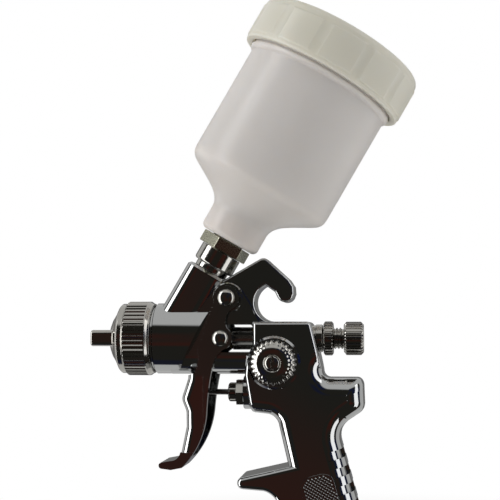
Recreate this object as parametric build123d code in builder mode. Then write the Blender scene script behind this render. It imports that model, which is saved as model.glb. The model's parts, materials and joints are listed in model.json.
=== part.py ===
from build123d import *
import math
import os

os.makedirs("parts", exist_ok=True)

# Gravity-feed spray gun. The origin is the centre of the air inlet's mouth and +Z is up.
# The nozzle points towards -X. Side-view places are given as (rearward, up) in millimetres
# from a datum on the needle axis, 0.9 mm behind the front face of the air cap.

# ---- Driving dimensions, mm ----
INLET_BACK = 91.7             # the inlet mouth is this far behind the datum
INLET_DROP = 111.8            # and this far below the needle axis
FIT = 0.05                    # clearance of threads and slip fits

CUP_TILT = 30.4               # degrees the cup leans back
CUP_FOOT = 22.0               # where the cup axis meets the needle axis
BOSS_WIDE = 16.2              # paint inlet boss, across its flats
BOSS_DEEP = 18.0
BOSS_ROUND = 5.0
BOSS_TOP = 28.9               # distance of its top along the cup axis
HEX_LOW, HEX_HIGH = 37.5, 42.1
HEX_AF = 17.0
CUP_NECK_R = 11.7
CUP_R = 28.25
CUP_WALL = 1.5
CUP_FLOOR = 43.2              # bottom of the cup neck along the cup axis
CUP_RIM = 124.5
LID_R = 32.9
LID_LOW, LID_HIGH = 111.6, 128.5

NOSE_R = 13.1
NOSE_FRONT = 17.0
RING_R = 13.8
CAP_FACE = -0.5
HORN_TIP = -7.05
MID_HALF = 9.0                # half width of the body between the trigger cheeks
FRAME_HALF = 10.5             # half width of the block and the grip
HOOK_HALF = 6.0
GRIP_SLANT = 15.3             # degrees the grip leans
NIPPLE_LONG = 15.0            # from the grip's foot to the inlet mouth

PIVOT = (44.6, 14.7)
PULL_PIN = (42.4, 0.0)
PULL_PIN_R = 2.6
TRIGGER_HALF = 12.0
TRIGGER_WALL = 2.2
FINGER_ROUND = 3.2
VALVE_UP = -19.8              # height of the air valve axis
VALVE_PAD = (31.0, -18.8)     # centre of the trigger's pad that pushes the valve
VALVE_PAD_R = 2.0
FAN = (61.8, -8.7)            # centre of the fan control
NEEDLE_R = 0.9
SHANK_R = 3.95                # fluid knob thread, M8
LOCK_NUT_R = 6.25
KNOB_R = 6.15

# ---- Planes and axes ----
datum = (-INLET_BACK, 0, INLET_DROP)
side = Plane(origin=datum, x_dir=(1, 0, 0), z_dir=(0, -1, 0))
needle_axis = Axis(datum, (1, 0, 0))
lean = math.radians(CUP_TILT)
cup_origin = (CUP_FOOT - INLET_BACK, 0, INLET_DROP)
cup_dir = (math.sin(lean), 0, math.cos(lean))
cup_side = Plane(origin=cup_origin, x_dir=(math.cos(lean), 0, -math.sin(lean)), z_dir=(0, -1, 0))
cup_axis = Axis(cup_origin, cup_dir)
cup_section = Plane(origin=cup_origin, x_dir=(math.cos(lean), 0, -math.sin(lean)), z_dir=cup_dir)
slant = math.radians(GRIP_SLANT)
grip_down = (math.sin(slant), 0, -math.cos(slant))
grip_foot = (-NIPPLE_LONG * math.sin(slant), 0, NIPPLE_LONG * math.cos(slant))
inlet_side = Plane(origin=grip_foot, x_dir=(math.cos(slant), 0, math.sin(slant)), z_dir=(0, 1, 0))
inlet_axis = Axis(grip_foot, grip_down)
inlet_section = Plane(origin=grip_foot, x_dir=(0, 1, 0), z_dir=grip_down)


def across(back, up, y=0.0):
    """A plane at a side-view place, square to the Y axis, that looks towards -Y."""
    return Plane(origin=(back - INLET_BACK, y, up + INLET_DROP), x_dir=(1, 0, 0), z_dir=(0, -1, 0))


def along(back, up=0.0):
    """A plane at a side-view place, square to the needle axis, that looks rearward."""
    return Plane(origin=(back - INLET_BACK, 0, up + INLET_DROP), x_dir=(0, 1, 0), z_dir=(1, 0, 0))


def level(back, up):
    """The line through a side-view place, parallel to the needle axis."""
    return Axis((back - INLET_BACK, 0, up + INLET_DROP), (1, 0, 0))


def crosswise(back, up):
    """The line through a side-view place, towards -Y."""
    return Axis((back - INLET_BACK, 0, up + INLET_DROP), (0, -1, 0))


def outline(plane, *points):
    """A straight-sided face."""
    with BuildSketch(plane) as drawn:
        with BuildLine():
            Polyline(*points, close=True)
        make_face()
    return drawn.sketch


def disc(plane, radius):
    with BuildSketch(plane) as drawn:
        Circle(radius)
    return drawn.sketch


def washer(plane, outer, inner):
    with BuildSketch(plane) as drawn:
        Circle(outer)
        Circle(inner, mode=Mode.SUBTRACT)
    return drawn.sketch


def hexagon(plane, across_flats, turn=0.0):
    with BuildSketch(plane) as drawn:
        RegularPolygon(across_flats / 2, 6, major_radius=False, rotation=turn)
    return drawn.sketch


def turned(start, *profile, up=0.0):
    """A face to be turned about a line parallel to the needle axis: points (back, radius)."""
    return outline(side, *[(start + back, up + radius) for back, radius in profile])


def finish(piece, name):
    piece.part.label = name
    export_step(piece.part, f"parts/{name}.step")


# ---- Body casting ----
with BuildPart() as nose:
    revolve(turned(0, (7.0, 0), (7.0, 11.4), (7.5, 11.9), (NOSE_FRONT, 11.9), (NOSE_FRONT, NOSE_R - 0.3),
                   (NOSE_FRONT + 0.3, NOSE_R), (38.0, NOSE_R), (38.0, 0)), axis=needle_axis)
    # The round nose ends on a slant that runs with the cup axis.
    behind_slant = outline(side, (40.3, 15.0), (24.9, -15.0), (60.0, -15.0), (60.0, 15.0))
    extrude(behind_slant, amount=20, both=True, mode=Mode.SUBTRACT)

with BuildPart() as boss:
    with BuildSketch(cup_section.offset(1.0)):
        RectangleRounded(BOSS_WIDE, BOSS_DEEP, radius=BOSS_ROUND)
    extrude(amount=BOSS_TOP - 1.0)
    chamfer(edges().group_by(Axis(cup_origin, cup_dir))[-1], length=0.9)

with BuildPart() as middle:
    extrude(outline(side, (23.0, -NOSE_R), (56.0, -NOSE_R), (56.0, 6.0), (53.0, 12.0), (49.5, 17.5),
                    (40.5, 19.0), (33.0, 9.0), (23.0, 0.0)), amount=MID_HALF, both=True)
    low_edges = edges().filter_by(Axis.X).group_by(Axis.Z)[0]
    fillet(low_edges, radius=7.0)

with BuildPart() as hook:
    with BuildSketch(side):
        with BuildLine():
            Polyline((58.2, 19.4), (61.6, 17.0), (62.6, 15.0))
            ThreePointArc((62.6, 15.0), (65.6, 13.2), (68.2, 14.8))
            Polyline((68.2, 14.8), (68.8, 16.4), (68.6, 19.0), (66.9, 21.6), (59.0, 28.9))
            ThreePointArc((59.0, 28.9), (57.6, 29.5), (56.0, 29.1))
            Polyline((56.0, 29.1), (44.0, 22.3), (38.0, 19.0), (36.0, 2.0), (61.0, 2.0), (61.0, 6.2))
            ThreePointArc((61.0, 6.2), (54.2, 13.2), (58.2, 19.4))
        make_face()
    extrude(amount=HOOK_HALF, both=True)
    rims = edges().filter_by(Axis.Y, reverse=True)
    fillet(rims, radius=1.1)

with BuildPart() as lug:
    with BuildSketch(across(*PIVOT)):
        Circle(5.7)
    extrude(amount=MID_HALF + 0.2, both=True)
    chamfer(edges().filter_by(GeomType.CIRCLE), length=0.4)

with BuildPart() as frame:
    with BuildSketch(side):
        with BuildLine():
            Polyline((53.8, 6.1), (73.6, 6.1))
            ThreePointArc((73.6, 6.1), (74.9, 5.4), (75.4, 4.2))
            Line((75.4, 4.2), (79.2, -11.6))
            ThreePointArc((79.2, -11.6), (80.0, -13.4), (81.8, -14.1))
            Line((81.8, -14.1), (91.4, -14.1))
            ThreePointArc((91.4, -14.1), (93.2, -15.0), (93.9, -17.0))
            Line((93.9, -17.0), (94.1, -23.4))
            ThreePointArc((94.1, -23.4), (93.5, -25.4), (92.1, -26.8))
            Line((92.1, -26.8), (88.2, -29.4))
            ThreePointArc((88.2, -29.4), (85.7, -32.9), (85.6, -37.2))
            Line((85.6, -37.2), (101.2, -93.65))
            Line((101.2, -93.65), (74.2, -101.05))
            Line((74.2, -101.05), (62.4, -58.0))
            ThreePointArc((62.4, -58.0), (63.4, -51.5), (66.6, -46.0))
            Line((66.6, -46.0), (63.2, -31.4))
            ThreePointArc((63.2, -31.4), (61.6, -28.4), (58.6, -27.2))
            Polyline((58.6, -27.2), (53.2, -26.6), (51.0, -13.4), (51.5, -6.0), (53.8, -5.0), (53.8, 6.1))
        make_face()
    extrude(amount=FRAME_HALF, both=True)
    # The grip is rounded most at the back, less at the front, and the block above it least.
    for low, high, rear, radius in ((-90.0, -27.5, True, 6.5), (-90.0, -27.0, False, 4.5),
                                    (-26.0, 20.0, None, 1.6)):
        sides = faces().filter_by(Axis.Y).group_by(Axis.Y)
        rims = (sides[0] + sides[-1]).edges()
        rims = rims.filter_by(lambda edge: low < edge.center().Z - INLET_DROP < high)
        if rear is not None:
            rims = rims.filter_by(lambda edge: (edge.center().X + INLET_BACK > 80.0) == rear)
        fillet(rims, radius=radius)

with BuildPart() as spur:
    with BuildSketch(side):
        with BuildLine():
            Polyline((73.5, -44.2), (60.0, -47.4), (50.2, -49.7))
            ThreePointArc((50.2, -49.7), (48.2, -51.8), (50.2, -54.0))
            Line((50.2, -54.0), (57.6, -54.5))
            ThreePointArc((57.6, -54.5), (61.2, -56.4), (63.4, -61.5))
            Polyline((63.4, -61.5), (73.5, -82.0), (73.5, -44.2))
        make_face()
    extrude(amount=FRAME_HALF, both=True)
    fillet(edges().filter_by(Axis.Y, reverse=True), radius=1.8)

with BuildPart() as valve_boss:
    revolve(outline(side, (49.7, VALVE_UP), (49.7, VALVE_UP + 5.9), (50.0, VALVE_UP + 6.2),
                    (57.0, VALVE_UP + 6.2), (57.0, VALVE_UP)), axis=level(0, VALVE_UP))

with BuildPart() as fan_boss:
    with BuildSketch(across(*FAN, y=-8.0)):
        Circle(9.6)
    extrude(amount=4.4)
    chamfer(edges().group_by(Axis.Y)[0], length=0.8)

# Ribs up the back of the grip: what is cut away between them stops at a slimmer core.
RIB_PITCH = 6.2
RIB_GAP = 3.1
RIB_GAPS = 9
RIB_START = (86.6, -40.6)      # middle of the first gap
RIB_SPINE = 0.9                # half width of the strip that joins the ribs
with BuildPart() as grip_core:
    extrude(outline(side, (64.0, -28.0), (84.4, -28.0), (84.4, -37.4), (99.6, -92.4), (74.2, -101.2),
                    (64.0, -60.0)), amount=FRAME_HALF - 1.1, both=True)
    sides = faces().filter_by(Axis.Y).group_by(Axis.Y)
    rims = (sides[0] + sides[-1]).edges()
    rims = rims.filter_by(lambda edge: edge.center().X + INLET_BACK > 83.0 and
                          edge.center().Z - INLET_DROP > -94.0 and edge.center().Z - INLET_DROP < -29.0)
    fillet(rims, radius=5.6)

with BuildPart() as rib_gaps:
    for number in range(RIB_GAPS):
        down = RIB_PITCH * number
        gap = Plane(origin=(RIB_START[0] - INLET_BACK + down * math.sin(slant), 0,
                            RIB_START[1] + INLET_DROP - down * math.cos(slant)),
                    x_dir=(math.cos(slant), 0, math.sin(slant)), z_dir=(0, -1, 0))
        with BuildSketch(gap):
            Rectangle(12.0, RIB_GAP)
        extrude(amount=14.0, both=True)
    add(grip_core.part, mode=Mode.SUBTRACT)
    with BuildSketch(side):
        with Locations((90.0, -60.0)):
            Rectangle(60.0, 90.0)
    extrude(amount=RIB_SPINE, both=True, mode=Mode.SUBTRACT)

with BuildPart() as gun_body:
    for piece in (nose, boss, middle, hook, lug, frame, spur, valve_boss, fan_boss):
        add(piece.part)
    add(rib_gaps.part, mode=Mode.SUBTRACT)
    # Nose: seat of the air distributor, nozzle thread, paint chamber, needle packing and needle.
    revolve(turned(0, (6.0, 0), (6.0, 9.6), (12.6, 9.6), (12.6, 4.3), (20.2, 4.3), (20.2, 3.0),
                   (25.8, 3.0), (25.8, 3.1), (30.0, 3.1), (30.0, 3.5), (37.0, 3.5), (37.0, 0)),
            axis=needle_axis, mode=Mode.SUBTRACT)
    # Window across the body for the pin that pulls the needle.
    with BuildSketch(side):
        with Locations(((36.3 + 53.8) / 2, 0)):
            RectangleRounded(53.8 - 36.3, 10.2, radius=1.2)
    extrude(amount=FRAME_HALF + 1, both=True, mode=Mode.SUBTRACT)
    # Bore for the needle carrier and spring, and the guide sleeve's thread.
    revolve(turned(0, (53.0, 0), (53.0, 4.5), (67.9, 4.5), (67.9, 4.85), (82.0, 4.85), (82.0, 0)),
            axis=needle_axis, mode=Mode.SUBTRACT)
    # Spot face for the guide sleeve on the sloping back.
    revolve(turned(0, (76.3, 0), (76.3, 5.5), (82.0, 5.5), (82.0, 0)),
            axis=needle_axis, mode=Mode.SUBTRACT)
    # Cup thread and paint bore along the cup axis.
    revolve(outline(cup_side, (0, 2.0), (3.0, 2.0), (3.0, 17.0), (5.55, 17.0), (5.55, 30.0), (0, 30.0)),
            axis=cup_axis, mode=Mode.SUBTRACT)
    # Air valve chamber.
    revolve(turned(0, (49.0, 0), (49.0, 4.05), (60.0, 4.05), (60.0, 3.4), (74.0, 3.4), (74.0, 0),
                   up=VALVE_UP), axis=level(0, VALVE_UP), mode=Mode.SUBTRACT)
    # Fan control bore.
    with BuildSketch(across(*FAN, y=4.0)):
        Circle(3.2)
    extrude(amount=20, mode=Mode.SUBTRACT)
    # Air ways: valve chamber to fan bore, forward under the paint bore, and up the grip.
    with BuildSketch(Plane(origin=(FAN[0] - INLET_BACK, 2.0, INLET_DROP - 17.0))):
        Circle(1.8)
    extrude(amount=8.0, mode=Mode.SUBTRACT)
    with BuildSketch(along(12.0, -9.4)):
        Circle(1.8)
    extrude(amount=48.0, mode=Mode.SUBTRACT)
    with BuildSketch(inlet_section.offset(-80.0)):
        Circle(2.8)
    extrude(amount=82.0, mode=Mode.SUBTRACT)
    with BuildSketch(inlet_section.offset(-9.5)):
        Circle(5.05)
    extrude(amount=12.0, mode=Mode.SUBTRACT)
    # Trigger pivot.
    with BuildSketch(across(*PIVOT)):
        Circle(2.55)
    extrude(amount=20.0, both=True, mode=Mode.SUBTRACT)
finish(gun_body, "gun_body")

# ---- Nozzle, distributor, air cap and its ring ----
with BuildPart() as fluid_nozzle:
    revolve(turned(0, (-0.6, 0.5), (-0.6, 1.2), (0.6, 1.35), (4.6, 4.4), (5.2, 5.2), (12.55, 5.2),
                   (12.55, 4.2), (20.0, 4.2), (20.0, 2.4), (4.2, 2.4), (0.6, 0.5)), axis=needle_axis)
finish(fluid_nozzle, "fluid_nozzle")

with BuildPart() as air_distributor:
    revolve(turned(0, (7.6, 5.3), (7.6, 6.2), (8.4, 7.2), (8.4, 9.5), (12.5, 9.5), (12.5, 5.3)),
            axis=needle_axis)
    with BuildSketch(along(8.0)):
        with PolarLocations(7.3, 12):
            Circle(0.75)
    extrude(amount=6.0, mode=Mode.SUBTRACT)
finish(air_distributor, "air_distributor")

with BuildPart() as air_cap:
    revolve(turned(0, (CAP_FACE, 1.75), (CAP_FACE, 3.6), (-0.3, 5.7), (0.6, 7.7), (1.8, 9.5), (3.95, 9.5),
                   (3.95, 11.8), (6.4, 11.8), (6.4, 9.2), (7.0, 9.2), (7.0, 8.2), (3.6, 7.6),
                   (1.2, 5.0), (0.4, 1.75)), axis=needle_axis)
    # Two horns stand forward of the face, to left and right of the nozzle.
    for hand in (-1, 1):
        with BuildSketch(along(HORN_TIP)):
            with Locations((hand * 6.3, 0.1)):
                RectangleRounded(4.4, 6.0, radius=1.6)
        extrude(amount=2.6 - HORN_TIP)
        with BuildSketch(along(HORN_TIP + 3.6)):
            with Locations((hand * 6.3, 0.1)):
                Circle(0.9)
        extrude(amount=9.0, mode=Mode.SUBTRACT)
        with BuildSketch(Plane(origin=(HORN_TIP + 3.6 - INLET_BACK, 0, INLET_DROP + 0.1),
                               x_dir=(0, 0, 1), z_dir=(0, hand, 0))):
            Circle(0.7)
        extrude(amount=6.3, mode=Mode.SUBTRACT)
    with BuildSketch(along(CAP_FACE - 0.1)):
        with PolarLocations(2.9, 4, start_angle=45):
            Circle(0.35)
    extrude(amount=4.0, mode=Mode.SUBTRACT)
finish(air_cap, "air_cap")

with BuildPart() as air_cap_ring:
    revolve(turned(0, (2.0, 9.85), (3.3, 12.4), (3.9, RING_R - 0.8), (5.6, RING_R - 0.8), (6.2, RING_R),
                   (14.4, RING_R), (15.4, RING_R - 0.7), (16.0, RING_R - 0.9), (16.0, 12.15), (3.2, 12.15),
                   (3.2, 9.85)), axis=needle_axis)
finish(air_cap_ring, "air_cap_ring")

with BuildPart() as cap_seal:
    revolve(turned(0, (3.25, 9.9), (3.25, 12.1), (3.9, 12.1), (3.9, 9.9)), axis=needle_axis)
finish(cap_seal, "cap_seal")

# ---- Needle, its packing and its pull pin ----
with BuildPart() as needle_packing:
    revolve(turned(25.9, (0, 0.95), (0, 3.0), (2.8, 3.0), (3.6, 2.2), (3.6, 0.95)), axis=needle_axis)
finish(needle_packing, "needle_packing")

with BuildPart() as needle_packing_nut:
    revolve(turned(29.6, (0, 1.25), (0, 2.3), (0.8, 3.4), (7.1, 3.4), (7.1, 1.25)), axis=needle_axis)
    extrude(hexagon(along(36.7), 7.6), amount=2.6)
    with BuildSketch(along(36.0)):
        Circle(1.25)
    extrude(amount=4.0, mode=Mode.SUBTRACT)
finish(needle_packing_nut, "needle_packing_nut")

with BuildPart() as fluid_needle:
    revolve(turned(0, (0.0, 0), (0.0, 0.3), (2.0, NEEDLE_R), (62.0, NEEDLE_R), (62.6, 0.4), (62.6, 0)),
            axis=needle_axis)
finish(fluid_needle, "fluid_needle")

CARRIER_FRONT = PULL_PIN[0] + PULL_PIN_R + 0.1
with BuildPart() as needle_carrier:
    revolve(turned(CARRIER_FRONT, (0, NEEDLE_R), (0, 3.0), (0.6, 4.2), (10.8, 4.2), (11.4, 3.6),
                   (11.4, NEEDLE_R)), axis=needle_axis)
finish(needle_carrier, "needle_carrier")

with BuildPart() as needle_spring:
    revolve(turned(CARRIER_FRONT + 11.45, (0, 1.5), (0, 2.3), (29.3, 2.3), (29.3, 1.5)), axis=needle_axis)
finish(needle_spring, "needle_spring")

# ---- Fluid control at the rear ----
with BuildPart() as guide_sleeve:
    revolve(turned(0, (68.0, SHANK_R + FIT), (68.0, 4.8), (76.35, 4.8), (76.35, 5.1), (78.6, 5.1),
                   (78.9, 4.8), (78.9, SHANK_R + FIT)), axis=needle_axis)
finish(guide_sleeve, "guide_sleeve")

with BuildPart() as fluid_lock_nut:
    revolve(turned(79.2, (0, SHANK_R + FIT), (0, 5.9), (0.5, LOCK_NUT_R), (3.1, LOCK_NUT_R), (3.6, 5.9),
                   (3.6, SHANK_R + FIT)), axis=needle_axis)
finish(fluid_lock_nut, "fluid_lock_nut")

KNOB_FRONT = 86.6
with BuildPart() as fluid_screw:
    revolve(turned(0, (69.0, 2.6), (69.0, 3.6), (69.4, SHANK_R), (KNOB_FRONT - FIT, SHANK_R),
                   (KNOB_FRONT - FIT, 3.0), (90.0, 3.0), (90.0, 0), (86.2, 0), (86.2, 2.6)), axis=needle_axis)
finish(fluid_screw, "fluid_screw")

with BuildPart() as fluid_knob:
    revolve(turned(KNOB_FRONT, (0, 3.0 + FIT), (0, KNOB_R - 0.9), (0.9, KNOB_R), (6.3, KNOB_R),
                   (7.3, KNOB_R - 0.9), (7.3, 0), (3.4 + FIT, 0), (3.4 + FIT, 3.0 + FIT)), axis=needle_axis)
finish(fluid_knob, "fluid_knob")

# ---- Air valve ----
with BuildPart() as air_valve_bushing:
    extrude(hexagon(along(47.0, VALVE_UP), 9.0), amount=2.7)
    revolve(turned(0, (49.5, 0), (49.5, 4.0), (58.0, 4.0), (58.0, 0), up=VALVE_UP),
            axis=level(0, VALVE_UP))
    revolve(turned(0, (46.0, 0), (46.0, 2.2), (49.4, 2.2), (49.4, 1.15), (52.0, 1.15), (52.0, 2.2),
                   (59.0, 2.2), (59.0, 0), up=VALVE_UP), axis=level(0, VALVE_UP), mode=Mode.SUBTRACT)
    with BuildSketch(across(55.0, VALVE_UP)):
        Circle(1.1)
    extrude(amount=6.0, both=True, mode=Mode.SUBTRACT)
finish(air_valve_bushing, "air_valve_bushing")

with BuildPart() as air_valve_packing:
    revolve(turned(0, (48.0, 1.1), (48.0, 2.15), (49.35, 2.15), (49.35, 1.1), up=VALVE_UP),
            axis=level(0, VALVE_UP))
finish(air_valve_packing, "air_valve_packing")

with BuildPart() as air_valve_nut:
    revolve(turned(0, (43.9, 1.15), (43.9, 3.0), (44.4, 3.5), (46.6, 3.5), (46.95, 3.1), (46.95, 2.15),
                   (47.95, 2.15), (47.95, 1.15), up=VALVE_UP), axis=level(0, VALVE_UP))
finish(air_valve_nut, "air_valve_nut")

STEM_FRONT = VALVE_PAD[0] + VALVE_PAD_R + 0.12
POPPET = 59.2
with BuildPart() as air_valve_stem:
    revolve(turned(0, (STEM_FRONT, 0), (STEM_FRONT, 0.8), (STEM_FRONT + 0.25, 1.05), (POPPET, 1.05),
                   (POPPET, 3.0), (POPPET + 1.2, 3.0), (POPPET + 1.2, 1.3), (POPPET + 3.2, 1.3),
                   (POPPET + 3.2, 0), up=VALVE_UP), axis=level(0, VALVE_UP))
finish(air_valve_stem, "air_valve_stem")

with BuildPart() as air_valve_seal:
    revolve(turned(POPPET, (-1.1, 1.05), (-1.1, 2.6), (-0.5, 3.0), (0, 3.0), (0, 1.05), up=VALVE_UP),
            axis=level(0, VALVE_UP))
finish(air_valve_seal, "air_valve_seal")

with BuildPart() as air_valve_spring:
    revolve(turned(POPPET + 1.25, (0, 1.7), (0, 2.6), (13.5, 2.6), (13.5, 1.7), up=VALVE_UP),
            axis=level(0, VALVE_UP))
finish(air_valve_spring, "air_valve_spring")

# ---- Fan control ----
fan_side = Plane(origin=(FAN[0] - INLET_BACK, 0, FAN[1] + INLET_DROP), x_dir=(1, 0, 0), z_dir=(0, 0, 1))
fan_axis = Axis(fan_side.origin, (0, 1, 0))


def fan_turned(*profile):
    """A face to be turned about the fan control's axis: points (distance out from the middle, radius)."""
    return outline(fan_side, *[(radius, -out) for out, radius in profile])


with BuildPart() as fan_bushing:
    revolve(fan_turned((4.0, 1.65), (4.0, 3.15), (12.45, 3.15), (12.45, 6.0), (13.3, 6.0), (13.3, 1.65)),
            axis=fan_axis)
finish(fan_bushing, "fan_bushing")

with BuildPart() as fan_needle:
    revolve(fan_turned((-1.0, 0), (-1.0, 0.6), (2.5, 1.6), (9.0, 1.6), (9.0, 1.3), (10.2, 1.3),
                       (10.2, 1.6), (14.2, 1.6), (14.2, 0)), axis=fan_axis)
finish(fan_needle, "fan_needle")

with BuildPart() as fan_oring:
    revolve(fan_turned((9.1, 1.3), (9.1, 1.63), (10.1, 1.63), (10.1, 1.3)), axis=fan_axis)
finish(fan_oring, "fan_oring")

with BuildPart() as fan_knob:
    revolve(fan_turned((13.6, 1.6), (13.6, 7.6), (14.2, 8.2), (16.8, 8.2), (17.6, 7.2), (18.0, 5.4),
                       (18.0, 2.7), (17.2, 2.7), (17.2, 1.2), (14.2, 1.2), (14.2, 1.6)), axis=fan_axis)
finish(fan_knob, "fan_knob")

with BuildPart() as fan_knob_screw:
    revolve(fan_turned((14.3, 0), (14.3, 1.15), (17.25, 1.15), (17.25, 2.5), (18.0, 2.5), (18.3, 1.8),
                       (18.4, 0)), axis=fan_axis)
    with BuildSketch(across(*FAN, y=-17.8)):
        Rectangle(0.7, 6.0)
    extrude(amount=2.0, mode=Mode.SUBTRACT)
finish(fan_knob_screw, "fan_knob_screw")

# ---- Trigger ----
CHEEK_GAP = TRIGGER_HALF - TRIGGER_WALL
WEB_TOP = -13.3
LIP = -43.2                    # below this the channel is filled
with BuildPart() as fingers:
    with BuildSketch(side):
        with BuildLine():
            FilletPolyline((30.2, -3.0), (30.2, -14.4), (27.6, -21.9), (29.3, -26.3), (29.3, -32.0),
                           (26.36, -45.16), radius=3.8)
            Polyline((26.36, -45.16), (60.0, -45.16), (60.0, -3.0), (30.2, -3.0))
        make_face()
    extrude(amount=20.0, both=True)
    with BuildSketch(along(0.0)):
        with BuildLine():
            Polyline((-13.4, -2.0), (-7.85, -46.5), (7.85, -46.5), (13.4, -2.0), close=True)
        make_face()
    extrude(amount=70.0, mode=Mode.INTERSECT)
    front = edges().filter_by(Axis.Y, reverse=True)
    front = front.filter_by(lambda edge: edge.center().X + INLET_BACK < 34.5)
    fillet(front, radius=FINGER_ROUND)

with BuildPart() as finger_waste:
    extrude(outline(side, (20.0, -41.4), (20.0, -8.0), (34.0, -8.0), (36.0, -14.0), (36.0, -41.4)),
            amount=20.0, both=True)
    add(fingers.part, mode=Mode.SUBTRACT)

with BuildPart() as trigger:
    with BuildSketch(side):
        with BuildLine():
            Polyline((40.2, 13.6), (37.4, 6.3), (34.6, -2.8), (33.9, -4.8), (34.5, -7.0), (33.0, -12.6),
                     (29.0, WEB_TOP - 0.5), (27.2, -20.0), (27.2, -41.4))
            ThreePointArc((27.2, -41.4), (26.2, -43.3), (23.4, -44.5))
            Polyline((23.4, -44.5), (20.2, -45.1))
            ThreePointArc((20.2, -45.1), (19.1, -46.3), (20.2, -47.4))
            Polyline((20.2, -47.4), (23.6, -47.8), (27.6, -47.0))
            ThreePointArc((27.6, -47.0), (34.4, -37.4), (37.2, -26.0))
            ThreePointArc((37.2, -26.0), (38.2, -17.0), (39.6, -9.8))
            ThreePointArc((39.6, -9.8), (41.2, -6.2), (43.6, -4.0))
            ThreePointArc((43.6, -4.0), (46.6, 0.2), (44.8, 3.6))
            ThreePointArc((44.8, 3.6), (44.2, 6.4), (46.2, 10.4))
            ThreePointArc((46.2, 10.4), (48.6, 16.8), (43.4, 18.9))
            ThreePointArc((43.4, 18.9), (41.0, 17.2), (40.2, 13.6))
        make_face()
    extrude(amount=TRIGGER_HALF, both=True)
    # Seen from the front the trigger narrows towards its tip.
    with BuildSketch(along(0.0)):
        with BuildLine():
            Polyline((-TRIGGER_HALF, 25.0), (-TRIGGER_HALF, -14.0), (-7.6, -48.5), (7.6, -48.5),
                     (TRIGGER_HALF, -14.0), (TRIGGER_HALF, 25.0), close=True)
        make_face()
    extrude(amount=60.0, mode=Mode.INTERSECT)
    # Its front is well rounded where the fingers lie.
    add(finger_waste.part, mode=Mode.SUBTRACT)
    # The channel is open to the rear; above the web only the two cheeks are left.
    with BuildSketch(side):
        with BuildLine():
            Polyline((26.0, 25.0), (26.0, WEB_TOP), (33.0, WEB_TOP), (30.6, -21.0))
            Polyline((30.6, -21.0), (31.8, -26.0), (31.8, -31.0), (31.2, -37.0), (30.4, LIP), (42.0, LIP))
            Polyline((42.0, LIP), (60.0, 0.0), (60.0, 25.0), (26.0, 25.0))
        make_face()
    hollow = extrude(amount=CHEEK_GAP, both=True, mode=Mode.PRIVATE)
    with BuildSketch(along(0.0)):
        with BuildLine():
            Polyline((-CHEEK_GAP, 26.0), (-CHEEK_GAP, -14.0), (TRIGGER_WALL - 7.6, -49.0),
                     (7.6 - TRIGGER_WALL, -49.0), (CHEEK_GAP, -14.0), (CHEEK_GAP, 26.0), close=True)
        make_face()
    narrowing = extrude(amount=70.0, mode=Mode.PRIVATE)
    add(hollow & narrowing, mode=Mode.SUBTRACT)
    # Pad that meets the valve stem.
    with BuildSketch(across(*VALVE_PAD)):
        Circle(VALVE_PAD_R)
    extrude(amount=CHEEK_GAP - 0.6, both=True)
    # Holes for the pivot and the pull pin.
    with BuildSketch(across(*PIVOT)):
        Circle(2.6)
    extrude(amount=20.0, both=True, mode=Mode.SUBTRACT)
    with BuildSketch(across(*PULL_PIN)):
        Circle(PULL_PIN_R)
    extrude(amount=20.0, both=True, mode=Mode.SUBTRACT)
finish(trigger, "trigger")


def cross_turned(back, up, *profile):
    """A face to be turned about a line across the gun: points (distance towards -Y, radius)."""
    plane = Plane(origin=(back - INLET_BACK, 0, up + INLET_DROP), x_dir=(1, 0, 0), z_dir=(0, 0, 1))
    return outline(plane, *[(radius, -out) for out, radius in profile])


DOME_OUT = TRIGGER_HALF + 0.25
with BuildPart() as pivot_pin:
    revolve(cross_turned(*PIVOT, (-11.5, 0), (-11.5, 2.5), (DOME_OUT, 2.5), (DOME_OUT, 3.4),
                         (DOME_OUT + 0.5, 3.4), (DOME_OUT + 1.3, 2.7), (DOME_OUT + 1.9, 1.5),
                         (DOME_OUT + 2.1, 0)), axis=crosswise(*PIVOT))
    revolve(cross_turned(*PIVOT, (-12.0, 0), (-12.0, 1.3), (-3.0, 1.3), (-3.0, 0)), axis=crosswise(*PIVOT),
            mode=Mode.SUBTRACT)
finish(pivot_pin, "pivot_pin")

with BuildPart() as pivot_screw:
    revolve(cross_turned(*PIVOT, (-4.0, 0), (-4.0, 1.25), (-DOME_OUT, 1.25), (-DOME_OUT, 3.4),
                         (-DOME_OUT - 0.5, 3.4), (-DOME_OUT - 1.3, 2.7), (-DOME_OUT - 1.9, 1.5),
                         (-DOME_OUT - 2.1, 0)), axis=crosswise(*PIVOT))
    with BuildSketch(across(*PIVOT, y=DOME_OUT + 3.0)):
        Rectangle(7.0, 0.8)
    extrude(amount=1.8, mode=Mode.SUBTRACT)
finish(pivot_screw, "pivot_screw")

with BuildPart() as pull_pin:
    revolve(cross_turned(*PULL_PIN, (-11.9, 0), (-11.9, PULL_PIN_R), (TRIGGER_HALF, PULL_PIN_R),
                         (TRIGGER_HALF, 3.2), (TRIGGER_HALF + 0.5, 3.2), (TRIGGER_HALF + 1.2, 2.6),
                         (TRIGGER_HALF + 1.7, 1.4), (TRIGGER_HALF + 1.9, 0)), axis=crosswise(*PULL_PIN))
    with BuildSketch(along(PULL_PIN[0] - 4.0)):
        Circle(1.75)
    extrude(amount=8.0, mode=Mode.SUBTRACT)
    revolve(cross_turned(*PULL_PIN, (-12.5, 0), (-12.5, 1.3), (-4.5, 1.3), (-4.5, 0)),
            axis=crosswise(*PULL_PIN), mode=Mode.SUBTRACT)
finish(pull_pin, "pull_pin")

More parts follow.
